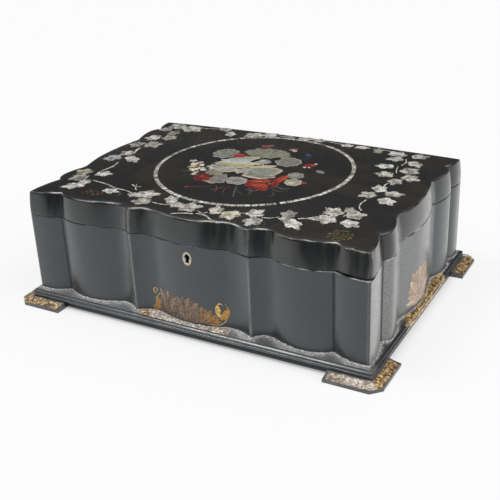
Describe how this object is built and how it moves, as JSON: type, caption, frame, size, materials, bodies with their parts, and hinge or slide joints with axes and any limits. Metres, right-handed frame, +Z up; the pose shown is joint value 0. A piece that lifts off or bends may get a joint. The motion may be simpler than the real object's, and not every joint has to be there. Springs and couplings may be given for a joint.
{
  "type": "sewing box",
  "caption": "Black lacquered sewing box with a serpentine front and sides, hinged domed lid, box lock and a lift-out tray.",
  "frame": {"origin": "on the table, under the middle of the box", "axes": "+X along the front to the right, +Y from the front to the hinged back, +Z up"},
  "size_m": [0.361, 0.265, 0.1135],
  "materials": {
    "black_lacquer": "glossy black japanned lacquer on papier-mache, worn in places",
    "composition": "rough painted composition, rubbed pale on its high spots",
    "pine": "planed softwood",
    "lining_paper": "crimson paper on thin board, matt",
    "quilted_silk": "crimson silk over wadding, soft sheen",
    "velvet": "crimson velvet",
    "pearl_shell": "polished mother-of-pearl",
    "brass": "aged brass, satin",
    "steel": "dark steel, satin"
  },
  "bodies": {
    "case": {"base_board": "pine", "plinth_moulding": "black_lacquer", "plinth_skirt": "composition", "foot_front_left": "black_lacquer", "foot_front_right": "black_lacquer", "foot_back_left": "black_lacquer", "foot_back_right": "black_lacquer", "carcass_wall": "black_lacquer", "rim_frame": "pine", "liner_front": "lining_paper", "liner_back": "lining_paper", "liner_left": "lining_paper", "liner_right": "lining_paper", "well_floor": "lining_paper", "tray_ledge_left": "pine", "tray_ledge_right": "pine", "lock_case": "brass", "escutcheon": "pearl_shell", "lock_screw_1": "brass", "lock_screw_2": "brass", "hinge_left_body_leaf": "brass", "hinge_left_pin": "steel", "hinge_left_body_screw_1": "brass", "hinge_left_body_screw_2": "brass", "hinge_right_body_leaf": "brass", "hinge_right_pin": "steel", "hinge_right_body_screw_1": "brass", "hinge_right_body_screw_2": "brass"},
    "lid": {"lid_top": "black_lacquer", "lid_rim": "black_lacquer", "lid_frame": "pine", "lid_pad": "quilted_silk", "link_plate": "brass", "link_screw_1": "brass", "link_screw_2": "brass", "hinge_left_lid_leaf": "brass", "hinge_left_lid_screw_1": "brass", "hinge_left_lid_screw_2": "brass", "hinge_right_lid_leaf": "brass", "hinge_right_lid_screw_1": "brass", "hinge_right_lid_screw_2": "brass"},
    "tray": {"tray_shell": "lining_paper", "divider_left": "lining_paper", "divider_right": "lining_paper", "cross_divider_left_front": "lining_paper", "cross_divider_left_back": "lining_paper", "cross_divider_right_front": "lining_paper", "cross_divider_right_back": "lining_paper", "cushion_divider_left": "lining_paper", "cushion_divider_right": "lining_paper", "trough_divider": "lining_paper", "cushion_front_divider": "lining_paper", "pincushion": "velvet", "tray_knob_left": "pearl_shell", "tray_knob_right": "pearl_shell"},
    "bolt": {"lock_bolt": "steel"}
  },
  "joints": [
    {"name": "lid_hinge", "type": "hinge", "parent": "case", "child": "lid", "pos_m": [0, 0.1179, 0.0867], "axis": [-1, 0, 0], "range_deg": [0, 95]},
    {"name": "tray_lift", "type": "slide", "parent": "case", "child": "tray", "axis": [0, 0, 1], "range_m": [0, 0.045]},
    {"name": "bolt_slide", "type": "slide", "parent": "case", "child": "bolt", "axis": [1, 0, 0], "range_m": [0, 0.0036]}
  ],
  "couplings": [
    {"joint": "tray_lift", "follows": "lid_hinge", "m_per_rad": 0.02714}
  ]
}
